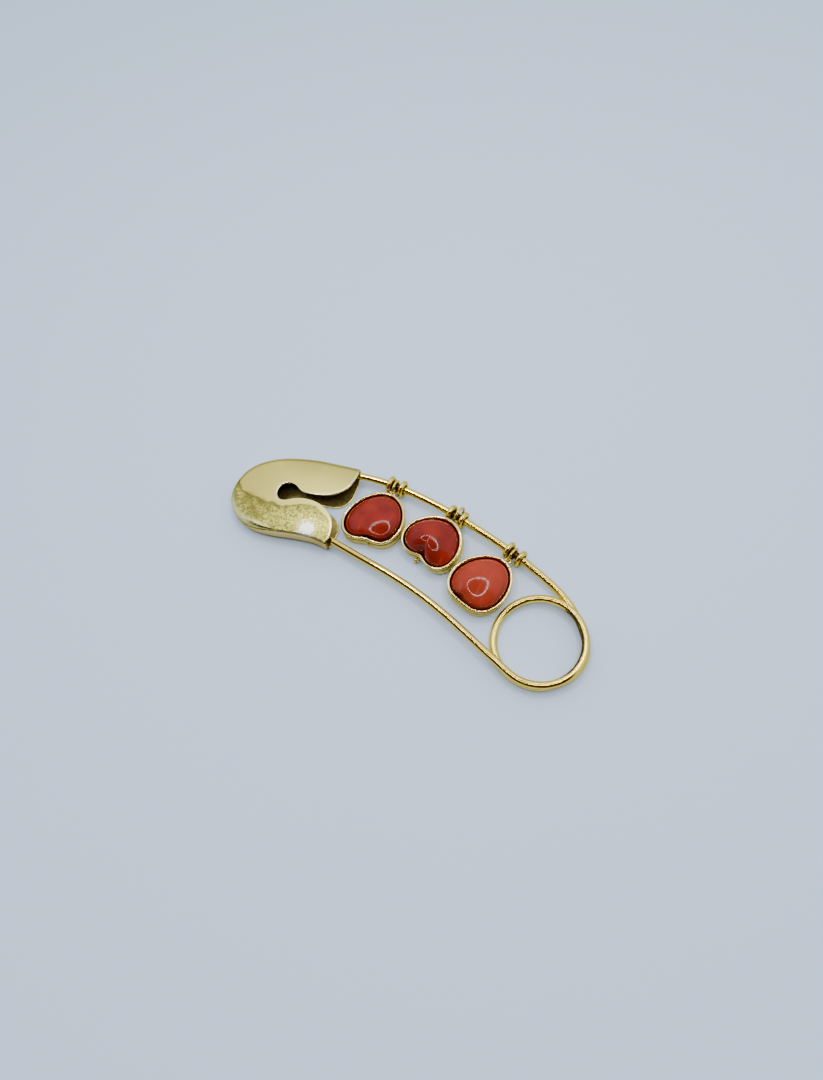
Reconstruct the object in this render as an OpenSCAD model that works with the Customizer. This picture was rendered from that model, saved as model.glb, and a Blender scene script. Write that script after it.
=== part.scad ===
// Safety-pin brooch in gold: a one-piece spring wire, a folded clasp cap and three coral hearts.
// Millimetres. The brooch lies flat on z = 0 with its length along X.

/* [Wire] */
// Diameter of the spring wire
wire_d = 1.4; // [1.3:0.05:1.5]
// Radius of the coil, to the middle of the wire
coil_r = 8.05; // [7.95:0.05:8.15]
// Height between the two turns of the coil
turn_rise = 1.5; // [1.5:0.05:1.7]
// Length of the taper at the pin's hidden point
point_length = 4; // [2:0.5:6]

/* [Clasp cap] */
// Height of the cap at its edge
cap_height = 4; // [3.8:0.1:4.4]
// Rise of the domed front leaf above its edge
cap_dome = 0.3; // [0.1:0.1:0.6]
// Thickness of the sheet gold
sheet = 0.4; // [0.3:0.05:0.45]
// Radius of the folded edge
fold_r = 1.9; // [1.5:0.1:1.9]
// Radius of the crisp upper edge along the side strip
crisp_r = 0.3; // [0.2:0.05:0.5]
// Radius of the lower edge along the side strip
lower_r = 1.2; // [0.8:0.1:1.5]

/* [Hearts] */
// Height of a bezel
bezel_height = 2.8; // [2.6:0.1:3]
// Thickness of a bezel's rim
rim_width = 0.67; // [0.6:0.01:0.75]
// Gap between a stone and its bezel
stone_gap = 0.15; // [0.08:0.01:0.2]
// Height of a stone's dome above its girdle
stone_dome = 3; // [2.4:0.1:3.2]
// Depth of the valley that runs in from a heart's cleft, as a share of the dome
valley = 0.45; // [0.1:0.05:0.5]
// Depth of the cleft in a stone's edge, as a share of its radius
cleft = 0.06; // [0.02:0.01:0.1]

/* [Rings] */
// Outside diameter of a stop ring
stop_od = 3.5; // [3.5:0.1:3.7]
// Thickness of a stop ring
stop_d = 0.95; // [0.8:0.05:0.95]
// Thickness of a jump ring
jump_d = 0.5; // [0.4:0.05:0.5]
// Thickness of a heart's loop
loop_d = 0.3; // [0.25:0.05:0.35]
// Gap between pieces that are threaded on each other
play = 0.1; // [0.08:0.01:0.12]

/* [Hidden] */

GOLD = [0.83, 0.68, 0.33];
CORAL = [0.68, 0.22, 0.16];
CORAL_LIGHT = [0.76, 0.3, 0.18];
wire_r = wire_d / 2;
wire_sides = 14;

// The coil's centre, and the angles round it where the pin leg comes in and the fixed leg goes out
coil_x = 28.8;
coil_y = -4.98;
coil_from = -110;
coil_to = 300;
coil_step = 12;
// Between these angles the wire comes down from the upper turn to the lower one
drop_from = 62;
drop_to = 205;
low_z = wire_r;
high_z = low_z + turn_rise;
mid_z = 2.1;

// Points that the middle of the wire passes through, from the pin's hidden point to the coil
PIN_LEG = [[-21, -3.6, mid_z], [-14.7, -4.25, mid_z], [-8, -4.9, mid_z], [-1, -5.5, mid_z],
    [6, -6.6, mid_z], [12, -8.1, high_z], [17, -9.65, high_z], [21, -10.95, high_z],
    [24, -11.9, high_z]];
// The same for the fixed leg, from the coil's lower turn to its hidden end in the cap
FIXED_LEG = [[35.3, -9.5, low_z], [36.7, -7.1, low_z], [37.1, -4.25, low_z], [36.3, -1.5, low_z],
    [34.5, 0.95, 0.75], [32.3, 2.95, 0.85], [29.8, 4.55, 1.1], [27.1, 5.75, 1.35],
    [24.3, 6.65, 1.6], [18.6, 8.2, 1.95], [12.8, 9.43, mid_z], [6.8, 10.48, mid_z],
    [0.9, 11.24, mid_z], [-5.1, 11.6, mid_z], [-11.2, 11.42, mid_z], [-17, 10.45, mid_z],
    [-23.5, 8.6, mid_z]];

// Outline of the cap seen from above, at its widest. The points right of x = -14 close the form
// behind the mouth and are cut away.
CAP_EDGE = [[-9.5, 9], [-8.5, 3], [-9, -3], [-13.5, -5.7], [-17.6, -6], [-21.6, -6.85],
    [-25.5, -8.05], [-29.4, -8.8], [-32.5, -8.55], [-35.4, -7.15], [-37.7, -4.1], [-38, 0.4],
    [-36.4, 3.9], [-33.15, 6.8], [-29.35, 8.65], [-25.3, 10], [-21.1, 10.9], [-17, 11.7],
    [-12.5, 12.2]];
CAP_MIDDLE = [-24, 1.5];
edge_steps = 3;
// Edge of the front leaf's opening: upper lobe, keyhole, lower lobe
FRONT_EDGE = [[-17.6, 13], [-17, 11.6], [-16.3, 10], [-16.2, 8.3], [-16.45, 6.3], [-17.45, 4.65],
    [-18.8, 3.4], [-20.4, 2.55], [-22.2, 1.95], [-23.8, 1.6], [-24.9, 1.85], [-26, 2.3],
    [-27.5, 2.25], [-28.5, 1.5], [-28.8, 0.3], [-28.35, -1], [-27.4, -1.6], [-26.3, -1.35],
    [-25, -0.4], [-23.6, 0.35], [-21.9, 0.8], [-20.4, 0.9], [-18.7, 0.65], [-17.2, 0],
    [-15.9, -1], [-14.95, -2.5], [-14.4, -4.3], [-14.5, -5.6], [-14.65, -8]];
// Edge of the back leaf's opening: its two lobes meet in a notch
BACK_EDGE = [[-17.6, 13], [-17.1, 11.3], [-16.5, 9.8], [-16.15, 8], [-15.95, 6.4], [-16.15, 4.9],
    [-17, 3.55], [-18.4, 2.65], [-20.8, 2], [-19.2, 1.5], [-17.9, 1.15], [-16.7, 0.7],
    [-15.7, 0.05], [-15, -0.9], [-14.6, -2.3], [-14.45, -4], [-14.6, -5.5], [-14.9, -8]];
mouth_end = -4;

// Hearts, a row for each. The formula of the outline is in heart_r().
// Columns: x and y of the centre, turn, half width, half height, notch depth, notch turn, turn of the
// stone's cleft, tilt and the y that it is tilted about, roll and the x that it is rolled about,
// x of the jump ring, its radius and how far it hangs towards the heart, x of the two stop rings, how
// far the dome's middle lies from the centre, how the dome rises across the heart as a share per
// millimetre, how fast its valley falls off, colour
X = 0; Y = 1; TURN = 2; HALF_W = 3; HALF_H = 4; NOTCH = 5; NOTCH_TURN = 6; CLEFT_TURN = 7;
TILT = 8; TILT_Y = 9; ROLL = 10; ROLL_X = 11; JUMP = 12; JUMP_R = 13; HANG = 14; STOP_A = 15;
STOP_B = 16; CREST = 17; LEAN = 18; VALLEY_POWER = 19; COLOUR = 20;
HEARTS = [
    [-8.9, 2.25, -7.2, 6.2, 7.1, 0.44, 19, 17, 0, 0, 0, 0, -8.85, 1.4, 0.35, -9.95, -7.4,
        [2.6, 0.8], [-0.042, 0], 6.3, CORAL],
    [3.4, 2.85, -28, 6.35, 6.45, 0.53, 16, 14, 8, -4, 0, 0, 5.1, 1.72, -0.3, 3.6, 6.3,
        [-0.68, 1.35], [-0.02, -0.07], 2.1, CORAL],
    [14.7, -0.48, -24.4, 5.66, 6.76, 0.255, 14, -14, 0, 0, 6, 5.8, 17.85, 1.4, 0.35, 16.75, 19.4,
        [2.05, -0.14], [-0.059, 0.014], 5.6, CORAL_LIGHT]];
// Small loops under the clefts of the first two hearts: x, y, radius and turn
TAILS = [[-8, -1.2, 0.25, -10], [1.84, -0.3, 0.45, -25]];
tail_d = 0.5;
triangle_share = 0.03;
notch_width = 58;
heart_sides = 60;
seat_z = 0.7;
girdle_z = 1.9;
valley_width = 24;
cleft_width = 11;

// Rings: each heart's loop lies level round its jump ring
loop_r = jump_d / 2 + play + loop_d / 2;
foot_length = 0.48;

function unit(v) = v / norm(v);
function smooth(t) = let(c = min(1, max(0, t))) c * c * (3 - 2 * c);
function mix(a, b, t) = a + (b - a) * t;

// Smooth curve through the points p: the piece from p[i] to p[i + 1], with slopes by chord length
function slope(p, i, closed) =
    let(n = len(p), a = closed ? p[(i + n - 1) % n] : p[max(0, i - 1)],
        b = closed ? p[(i + 1) % n] : p[min(n - 1, i + 1)], m = p[i % n])
    (b - a) / (norm(b - m) + norm(m - a));
function curve_point(p, i, t, closed) =
    let(n = len(p), a = p[i % n], b = p[(i + 1) % n], d = norm(b - a),
        sa = slope(p, i % n, closed) * d, sb = slope(p, (i + 1) % n, closed) * d)
    (2 * t^3 - 3 * t^2 + 1) * a + (t^3 - 2 * t^2 + t) * sa
        + (3 * t^2 - 2 * t^3) * b + (t^3 - t^2) * sb;
function curve(p, steps, closed = false) =
    [for (i = [0:len(p) - (closed ? 1 : 2)], k = [0:steps - 1]) curve_point(p, i, k / steps, closed)];

// Wire: pin leg, then the coil anticlockwise from the upper turn down to the lower, then the fixed leg
function coil_drop(a) = smooth((a - drop_from) / (drop_to - drop_from));
function coil_z(a) = mix(high_z, low_z, coil_drop(a));
COIL = [for (a = [coil_from:coil_step:coil_to])
    let(r = coil_r - 0.1 * coil_drop(a)) [coil_x + r * cos(a), coil_y + r * sin(a), coil_z(a)]];
ROUTE = curve(concat(PIN_LEG, COIL, FIXED_LEG), 2);
function route_way(i) = unit(ROUTE[min(len(ROUTE) - 1, i + 1)] - ROUTE[max(0, i - 1)]);
function route_r(i) = wire_r * min(1, 0.15 + 0.85 * norm(ROUTE[i] - ROUTE[0]) / point_length);
function route_ring(i) =
    let(way = route_way(i), side = unit(cross(way, [0, 0, 1])), up = cross(side, way))
    [for (k = [0:wire_sides - 1]) let(a = 360 * k / wire_sides)
        ROUTE[i] + route_r(i) * (cos(a) * side + sin(a) * up)];

// The place on the fixed leg at a given x, and the way from there to the hearts
LEG = [for (p = ROUTE) if (p[1] > 5) p];
function leg_at(x) = [for (i = [0:len(LEG) - 2]) if (LEG[i][0] >= x && LEG[i + 1][0] < x)
    mix(LEG[i], LEG[i + 1], (LEG[i][0] - x) / (LEG[i][0] - LEG[i + 1][0]))][0];
function leg_turn(x) = let(w = leg_at(x + 0.5) - leg_at(x - 0.5)) atan2(w[1], w[0]);

// Rings of points joined into one closed skin. Each end is closed flat, or by a middle point.
function skin_faces(n, rings) = [for (j = [0:rings - 2], k = [0:n - 1])
    let(a = j * n + k, b = j * n + (k + 1) % n) each [[a, b, b + n], [a, b + n, a + n]]];
module skin(rings, n) {
    last = len(rings) - 1;
    polyhedron(points = [for (r = rings) each r], convexity = 10,
        faces = concat(skin_faces(n, len(rings)), [[for (k = [n - 1:-1:0]) k]],
            [[for (k = [0:n - 1]) last * n + k]]));
}
module capped_skin(rings, n, low, high) {
    count = len(rings);
    polyhedron(points = concat([for (r = rings) each r], [low, high]), convexity = 10,
        faces = concat(skin_faces(n, count),
            [for (k = [0:n - 1]) [(k + 1) % n, k, count * n]],
            [for (k = [0:n - 1]) [(count - 1) * n + k, (count - 1) * n + (k + 1) % n, count * n + 1]]));
}

// Cap: a form whose edge is folded round on the top and left, and crisp along the side strip
EDGE = curve(CAP_EDGE, edge_steps, true);
edge_n = len(EDGE);
function edge_out(i) =
    let(w = unit(EDGE[(i + 1) % edge_n] - EDGE[(i + edge_n - 1) % edge_n])) [-w[1], w[0]];
function edge_r(i, strip_r, from, span, wall) = let(folded = edge_out(i)[1] > 0,
        r = folded ? fold_r : mix(fold_r, strip_r, smooth((EDGE[i][0] - from) / span)))
    max(0.1, r - wall);
function edge_ring(inset, z) = [for (i = [0:edge_n - 1])
    concat(EDGE[i] - inset[i] * edge_out(i), [z[i]])];
function shrunk_ring(ring, share, z) = [for (p = ring)
    concat(mix(CAP_MIDDLE, [p[0], p[1]], share), [z])];
module cap_form(wall) {
    top = cap_height - wall;
    low_r = [for (i = [0:edge_n - 1]) edge_r(i, lower_r, -36, 6, wall)];
    top_r = [for (i = [0:edge_n - 1]) edge_r(i, crisp_r, -35, 11, wall)];
    low = [for (a = [90, 55, 25, 0]) edge_ring([for (r = low_r) wall + r * (1 - cos(a))],
        [for (r = low_r) wall + r * (1 - sin(a))])];
    high = [for (a = [0, 25, 55, 90]) edge_ring([for (r = top_r) wall + r * (1 - cos(a))],
        [for (r = top_r) top - r * (1 - sin(a))])];
    crown = [for (s = [0.66, 0.33]) shrunk_ring(high[3], s, top + cap_dome * (1 - s * s))];
    capped_skin(concat(low, high, crown), edge_n, concat(CAP_MIDDLE, [wall]),
        concat(CAP_MIDDLE, [top + cap_dome]));
}
module mouth(edge, z, height) {
    translate([0, 0, z])
        linear_extrude(height)
            polygon(concat(curve(edge, 3), [[-14.8, -12], [mouth_end, -12], [mouth_end, 15], [-17.6, 15]]));
}
module clasp_cap() {
    half = cap_height / 2;
    color(GOLD)
        difference() {
            cap_form(0);
            cap_form(sheet);
            mouth(FRONT_EDGE, half, cap_height);
            mouth(BACK_EDGE, half - cap_height, cap_height);
        }
}

module spring_wire() {
    color(GOLD)
        skin([for (i = [0:len(ROUTE) - 1]) route_ring(i)], wire_sides);
}

// Heart outline: a slightly three-cornered oval with a wide shallow notch between the two lobes.
// The factor is 1 + share * cos(3 * (angle - 90)) - ease * notch * exp(-((angle - 270) / width)^2).
function wrap(a) = a - 360 * floor((a + 180) / 360);
function heart_r(h, a, ease) = 1 + triangle_share * cos(3 * (a - 90))
    - ease * h[NOTCH] * exp(-(wrap(a - 270 - h[NOTCH_TURN]) / notch_width)^2);
function heart_point(h, a, inset, share, ease = 1) =
    let(p = heart_r(h, a, ease) * [h[HALF_W] * cos(a), h[HALF_H] * sin(a)])
    p * share * (1 - inset / norm(p));
function heart_ring(h, inset, z) =
    [for (k = [0:heart_sides - 1]) concat(heart_point(h, -360 * k / heart_sides, inset, 1), [z])];
// A stone's outline has a narrow cleft, and from it a valley runs in towards the middle of the dome.
// Towards the crest the rings lose their notch.
function cleft_share(h, a, width) = exp(-(wrap(a - 270 - h[CLEFT_TURN]) / width)^2);
function dome_z(h, a, s, p) = stone_dome * sqrt(1 - s^2) * (1 + h[LEAN] * p)
    * (1 - valley * s^h[VALLEY_POWER] * cleft_share(h, a, valley_width));
function stone_point(h, a, inset, s) =
    let(out = 1 - cleft * s^4 * cleft_share(h, a, cleft_width), ease = smooth(s)^(h[VALLEY_POWER] / 2))
    heart_point(h, a, rim_width + stone_gap + inset, s * out, ease) + (1 - s^2) * h[CREST];
function stone_ring(h, inset, s, low) = [for (k = [0:heart_sides - 1])
    let(a = -360 * k / heart_sides, p = stone_point(h, a, inset, s))
    concat(p, [is_undef(low) ? girdle_z + dome_z(h, a, s, p) : low])];

module place_heart(h) {
    translate([h[X], h[Y], 0])
        rotate([0, 0, h[TURN]])
            translate([h[ROLL_X], h[TILT_Y], 0])
                rotate([h[TILT], h[ROLL], 0])
                    translate([-h[ROLL_X], -h[TILT_Y], 0])
                        children();
}
module bezel(h) {
    t = bezel_height;
    rings = [heart_ring(h, 0.25, 0), heart_ring(h, 0.12, 0.1), heart_ring(h, 0.12, 0.35),
        heart_ring(h, 0.22, 0.5), heart_ring(h, 0.22, t - 0.8), heart_ring(h, 0.03, t - 0.5),
        heart_ring(h, 0.03, t - 0.2), heart_ring(h, 0.2, t), heart_ring(h, rim_width - 0.2, t),
        heart_ring(h, rim_width, t - 0.25), heart_ring(h, rim_width, seat_z - stone_gap)];
    place_heart(h)
        capped_skin(rings, heart_sides, [0, 0, 0], [0, 0, seat_z - stone_gap]);
}
module ring(r, d) {
    rotate_extrude($fn = 48)
        translate([r, 0])
            circle(d = d, $fn = 24);
}
module on_leg(x) {
    translate(leg_at(x))
        rotate([0, 0, leg_turn(x)])
            children();
}
// The loop lies level at the heart's point, and its foot is soldered into the bezel's wall
module loop(h) {
    on_leg(h[JUMP])
        translate([0, -h[JUMP_R] - h[HANG], 0]) {
            ring(loop_r, loop_d);
            translate([0, -loop_r, 0])
                rotate([90, 0, 0])
                    cylinder(d = loop_d, h = foot_length, $fn = 24);
        }
}
module tail_loop(t) {
    translate([t[0], t[1], t[2] + tail_d / 2])
        rotate([0, 90, t[3]])
            ring(t[2], tail_d);
}
module setting(i) {
    h = HEARTS[i];
    color(GOLD)
        union() {
            bezel(h);
            loop(h);
            if (i < len(TAILS)) tail_loop(TAILS[i]);
        }
}
module coral_heart(i) {
    h = HEARTS[i];
    rings = concat([stone_ring(h, 0.3, 1, seat_z), stone_ring(h, 0, 1, seat_z + 0.3)],
        [for (s = [1, 0.985, 0.94, 0.85, 0.7, 0.5, 0.27]) stone_ring(h, 0, s)]);
    color(h[COLOUR])
        place_heart(h)
            capped_skin(rings, heart_sides, [0, 0, seat_z],
                concat(h[CREST], [girdle_z + stone_dome * (1 + h[LEAN] * h[CREST])]));
}

module jump_ring(i) {
    color(GOLD)
        on_leg(HEARTS[i][JUMP])
            translate([0, -HEARTS[i][HANG], 0])
                rotate([0, 90, 0])
                    ring(HEARTS[i][JUMP_R], jump_d);
}
module stop_ring(x) {
    color(GOLD)
        on_leg(x)
            rotate([0, 90, 0])
                ring((stop_od - stop_d) / 2, stop_d);
}

clasp_cap();
spring_wire();
setting(0);  // setting_1
setting(1);  // setting_2
setting(2);  // setting_3
coral_heart(0);  // coral_heart_1
coral_heart(1);  // coral_heart_2
coral_heart(2);  // coral_heart_3
jump_ring(0);  // jump_ring_1
jump_ring(1);  // jump_ring_2
jump_ring(2);  // jump_ring_3
stop_ring(HEARTS[0][STOP_A]);  // stop_ring_1a
stop_ring(HEARTS[0][STOP_B]);  // stop_ring_1b
stop_ring(HEARTS[1][STOP_A]);  // stop_ring_2a
stop_ring(HEARTS[1][STOP_B]);  // stop_ring_2b
stop_ring(HEARTS[2][STOP_A]);  // stop_ring_3a
stop_ring(HEARTS[2][STOP_B]);  // stop_ring_3b
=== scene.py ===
"""Coral brooch: the visible model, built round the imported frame.

Every shape is a grid of points worked out with numpy in millimetres, and goes into its mesh in metres.
The axes are the frame's own: +X along the brooch from the clasp cap to the coil, +Y from the pin leg to
the fixed leg, +Z out of the front.
"""

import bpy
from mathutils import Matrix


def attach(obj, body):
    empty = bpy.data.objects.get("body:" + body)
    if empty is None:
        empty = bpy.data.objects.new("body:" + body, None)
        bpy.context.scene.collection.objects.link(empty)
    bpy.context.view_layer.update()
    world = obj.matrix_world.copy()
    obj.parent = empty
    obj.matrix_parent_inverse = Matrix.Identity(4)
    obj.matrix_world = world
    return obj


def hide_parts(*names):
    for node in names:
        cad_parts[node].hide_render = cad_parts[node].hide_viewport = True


bl_info = {
    "name": "Coral brooch",
    "version": (1, 0, 0),
    "blender": (4, 5, 0),
    "location": "View3D > Sidebar > Brooch",
    "description": "Safety-pin brooch in gold with a clasp cap and three coral hearts",
    "category": "Add Mesh",
}

import bpy
import numpy as np
from bpy.props import FloatProperty, FloatVectorProperty, PointerProperty
from mathutils import Matrix

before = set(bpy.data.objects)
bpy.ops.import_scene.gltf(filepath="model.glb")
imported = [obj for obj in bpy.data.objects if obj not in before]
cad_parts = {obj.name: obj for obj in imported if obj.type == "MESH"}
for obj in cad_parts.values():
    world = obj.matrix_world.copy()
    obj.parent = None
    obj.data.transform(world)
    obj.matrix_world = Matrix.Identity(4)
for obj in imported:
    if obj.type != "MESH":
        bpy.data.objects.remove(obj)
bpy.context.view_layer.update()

MM = 0.001
BODY = "root"

# Places, in millimetres and degrees

COIL_MIDDLE = (28.8, -4.98)
# Angles of the coil's points: first, last and step
COIL_ANGLES = (-110, 300, 12)
# The coil comes down to its lower turn between these angles, and gets this much tighter
COIL_DROP = (62, 205)
COIL_TIGHTEN = 0.1
# Painted shade on the coil's inner side: its middle, and how far from there it begins and is full
COIL_DARK = (20, 75, 45)
PIN_LEG = np.array([
    (-21, -3.6, 2.1), (-14.7, -4.25, 2.1), (-8, -4.9, 2.1), (-1, -5.5, 2.1), (6, -6.6, 2.1),
    (12, -8.1, 2.2), (17, -9.65, 2.2), (21, -10.95, 2.2), (24, -11.9, 2.2)])
FIXED_LEG = np.array([
    (35.3, -9.5, 0.7), (36.7, -7.1, 0.7), (37.1, -4.25, 0.7), (36.3, -1.5, 0.7), (34.5, 0.95, 0.75),
    (32.3, 2.95, 0.85), (29.8, 4.55, 1.1), (27.1, 5.75, 1.35), (24.3, 6.65, 1.6), (18.6, 8.2, 1.95),
    (12.8, 9.43, 2.1), (6.8, 10.48, 2.1), (0.9, 11.24, 2.1), (-5.1, 11.6, 2.1), (-11.2, 11.42, 2.1),
    (-17, 10.45, 2.1), (-23.5, 8.6, 2.1)])
# The rings are on the part of the wire beyond this y
RING_SIDE = 5
# Steps from one point of the wire to the next, and how many of the last stretch are left off, so that
# the fixed leg ends half-way, inside the cap
WIRE_STEPS = 8
HIDDEN_STEPS = 3
# Thickness of the pin's point as a share of the wire's
POINT_SHARE = 0.15

# Closed outline of the cap from above, clockwise. Its first three points only lead it past the mouth,
# which lies between the two corners
CAP_EDGE = np.array([
    (-9.5, 9), (-8.5, 3), (-9, -3), (-13.5, -5.7), (-17.6, -6), (-21.6, -6.85), (-25.5, -8.05),
    (-29.4, -8.8), (-32.5, -8.55), (-35.4, -7.15), (-37.7, -4.1), (-38, 0.4), (-36.4, 3.9),
    (-33.15, 6.8), (-29.35, 8.65), (-25.3, 10), (-21.1, 10.9), (-17, 11.7), (-12.5, 12.2)])
MOUTH_UPPER = (-17.05, 11.69)
MOUTH_LOWER = (-14.55, -5.8)
# The front leaf's dome: its middle, its half lengths, and how far in from the wall it is full
DOME_MIDDLE = (-24, 1.5)
DOME_SPAN = (15.5, 11)
DOME_FOOT = 5
# The slight bulge of the front leaf's lower lobe: its middle, half lengths and height
LOBE_MIDDLE = (-21.5, -3)
LOBE_SPAN = (5, 3.2)
LOBE_BULGE = 0.14
# Smallest radius of the cap's edges, and where along x the fold's radius goes over to the side strip's,
# at the upper edge and at the lower one
LEAST_RADIUS = 0.1
CRISP_FADE = (-35, -24)
LOWER_FADE = (-36, -30)
# The seam between the front leaf and the side strip: where along x it fades in, how far below the leaf
# it lies, and the widths of its groove and of the painted shade line in it
SEAM_FADE = (-34, -31.5)
SEAM_FALL = 0.25
GROOVE_WIDTH = 0.13
SEAM_WIDTH = 0.18
# Edge of the front leaf's opening: upper lobe, keyhole, lower lobe
FRONT_EDGE = np.array([
    (-17.3, 12.2), (-17, 11.6), (-16.3, 10), (-16.2, 8.3), (-16.45, 6.3), (-17.45, 4.65),
    (-18.8, 3.4), (-20.4, 2.55), (-22.2, 1.95), (-23.8, 1.6), (-24.9, 1.85), (-26, 2.3),
    (-27.5, 2.25), (-28.5, 1.5), (-28.8, 0.3), (-28.35, -1), (-27.4, -1.6), (-26.3, -1.35),
    (-25, -0.4), (-23.6, 0.35), (-21.9, 0.8), (-20.4, 0.9), (-18.7, 0.65), (-17.2, 0),
    (-15.9, -1), (-14.95, -2.5), (-14.4, -4.3), (-14.5, -5.6), (-14.6, -6.6)])
# Edge of the back leaf's opening: two lobes that meet in a notch
BACK_EDGE = np.array([
    (-17.3, 12.2), (-17.1, 11.3), (-16.5, 9.8), (-16.15, 8), (-15.95, 6.4), (-16.15, 4.9),
    (-17, 3.55), (-18.4, 2.65), (-20.8, 2), (-19.2, 1.5), (-17.9, 1.15), (-16.7, 0.7),
    (-15.7, 0.05), (-15, -0.9), (-14.6, -2.3), (-14.45, -4), (-14.6, -5.5), (-14.7, -6.6)])
# Points of the cap's outline that the straight lines across each leaf run to. Columns: share of the
# way along the opening's edge, share of the way along the outline
FRONT_LINES = np.array([
    (0, 0), (0.1, 0.03), (0.2, 0.1), (0.3, 0.2), (0.42, 0.36), (0.5, 0.5), (0.57, 0.64), (0.62, 0.74),
    (0.72, 0.82), (0.85, 0.92), (0.95, 0.985), (1, 1)])
BACK_LINES = np.array([
    (0, 0), (0.12, 0.05), (0.3, 0.16), (0.4, 0.3), (0.48, 0.45), (0.5, 0.5), (0.56, 0.62), (0.66, 0.8),
    (0.8, 0.92), (0.93, 0.98), (1, 1)])

# Line on the front leaf where the lower part with wear begins, from left to right; a dark painted
# reflection runs along it
WEAR_AND_REFLECTION_LINE = np.array([
    (-38, -0.6), (-37, -1.65), (-35.2, -2.85), (-32.6, -3.1), (-30.1, -3.45), (-28.2, -2.85),
    (-26.3, -2.75), (-24.4, -2), (-22.75, -0.9), (-20, -0.35), (-17.8, -0.3), (-14, -1.6)])
# The painted highlight spot on the lower lobe: its middle and half lengths
HIGHLIGHT_SPOT_PLACE = (-19.2, -4.9)
HIGHLIGHT_SPOT_SPAN = (1.7, 1.4)
# Dull spots on the front leaf: x, y and size
STAINS = (
    (-30.3, -3.6, 0.7), (-31.2, -5.8, 1.1), (-29.4, -6.6, 0.9), (-33.3, -4.2, 1.3), (-28.3, -4.4, 0.7))
# The painted highlight band along the lower left: its distance from the outline and half its width,
# and where it fades in from the left, from the right and from above
FOLD_HIGHLIGHT = (0.6, 0.4)
FOLD_HIGHLIGHT_LEFT = (-37.5, -35.5)
FOLD_HIGHLIGHT_RIGHT = (-25, -30)
FOLD_HIGHLIGHT_TOP = (-1, -4)
# Width of the painted highlight along the front leaf's opening
LIP_HIGHLIGHT_SPAN = 0.3

# Hearts. Columns: x and y of the centre, turn, half width, half height, notch depth, notch turn, turn
# of the stone's cleft, tilt and the y that it is tilted about, roll and the x that it is rolled about,
# x of the jump ring, its radius, how far it hangs towards the heart, x of the two stop rings, how far
# the dome's middle lies from the centre, how the dome rises across the heart, as a share per
# millimetre, and how fast the valley falls off
HEARTS = [
    (-8.9, 2.25, -7.2, 6.2, 7.1, 0.44, 19, 17, 0, 0, 0, 0, -8.85, 1.4, 0.35, -9.95, -7.4,
     2.6, 0.8, -0.042, 0, 6.3),
    (3.4, 2.85, -28, 6.35, 6.45, 0.53, 16, 14, 8, -4, 0, 0, 5.1, 1.72, -0.3, 3.6, 6.3,
     -0.68, 1.35, -0.02, -0.07, 2.1),
    (14.7, -0.48, -24.4, 5.66, 6.76, 0.255, 14, -14, 0, 0, 6, 5.8, 17.85, 1.4, 0.35, 16.75, 19.4,
     2.05, -0.14, -0.059, 0.014, 5.6)]
(X, Y, TURN, HALF_W, HALF_H, NOTCH, NOTCH_TURN, CLEFT_TURN, TILT, TILT_Y, ROLL, ROLL_X, JUMP, JUMP_R,
 HANG, STOP_A, STOP_B, CREST_X, CREST_Y, LEAN_X, LEAN_Y, VALLEY_POWER) = range(22)
STONE_MATERIALS = ("Red coral", "Red coral", "Orange coral")
STONE_SLOTS = ("coral", "coral", "coral_orange")
# Angles of the points round a heart
HEART_ANGLES = np.linspace(0, 360, 288, endpoint=False)
# How far a heart's oval leans towards a triangle, and the widths of its notch, cleft and valley
TRIANGLE_SHARE = 0.03
NOTCH_WIDTH = 58
CLEFT_WIDTH = 11
VALLEY_WIDTH = 24
# Heights of a stone's flat back and of its girdle, and its foot, as insets and heights above the back
SEAT_Z = 0.7
GIRDLE_Z = 1.9
STONE_FOOT = ((0.3, 0), (0.05, 0.25), (0, 0.4))
# Painted shade along the edge of a stone's dome, under the bezel's rim, begins at this share of its
# outline
EDGE_SHADE = 0.97
# A bezel's foot bead as inset, height and radius, and its wall as insets and heights
FOOT_BEAD = (0.3, 0.2, 0.19)
BEZEL_WALL = [(0.24, 0.42), (0.23, 0.8), (0.23, 1.3)]
# Painted shade in a bezel's hollows. Columns: number of a point of its section, darkness
BEZEL_HOLLOWS = np.array([
    (0, 0.5), (9, 0.05), (13, 0.15), (14, 0.4), (15, 1), (17, 0), (38, 0), (42, 1)])
# Length of the foot of a heart's loop
FOOT_LENGTH = 0.48
# Small loops under the clefts of the first two hearts: x, y, radius and turn
TAILS = [(-8.0, -1.2, 0.25, -10), (1.84, -0.3, 0.45, -25)]
TAIL_THICKNESS = 0.5
# Painted shade on each jump ring, which hangs in shadow
JUMP_SHADE = 0.3

# Curves and grids


def smooth(t):
    """Smooth step: 3 t^2 - 2 t^3, with t held between 0 and 1."""
    t = np.clip(t, 0, 1)
    return t * t * (3 - 2 * t)


def ramp(value, start, end):
    """Smooth step from 0 to 1 while the value goes from start to end."""
    return smooth((value - start) / (end - start))


def hump(value, middle, span):
    """Bell curve: exp(-((value - middle) / span)^2)."""
    return np.exp(-(((value - middle) / span) ** 2))


def spot(plan, middle, span):
    """Bell curve along x times bell curve along y, at each place of the plan."""
    return hump(plan, middle, span).prod(-1)


def mix(a, b, t):
    """The value a share t of the way from a to b."""
    return a + (b - a) * t


def unit(v):
    """Vectors along the last axis, made length 1."""
    return v / np.linalg.norm(v, axis=-1, keepdims=True)


def sideways(v):
    """Level directions, turned a quarter to the left."""
    return np.stack([-v[..., 1], v[..., 0]], -1)


def spin(u, v, degrees):
    """The two coordinates of places in a plane, turned about its origin."""
    c, s = np.cos(np.radians(degrees)), np.sin(np.radians(degrees))
    return c * u - s * v, s * u + c * v


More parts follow.
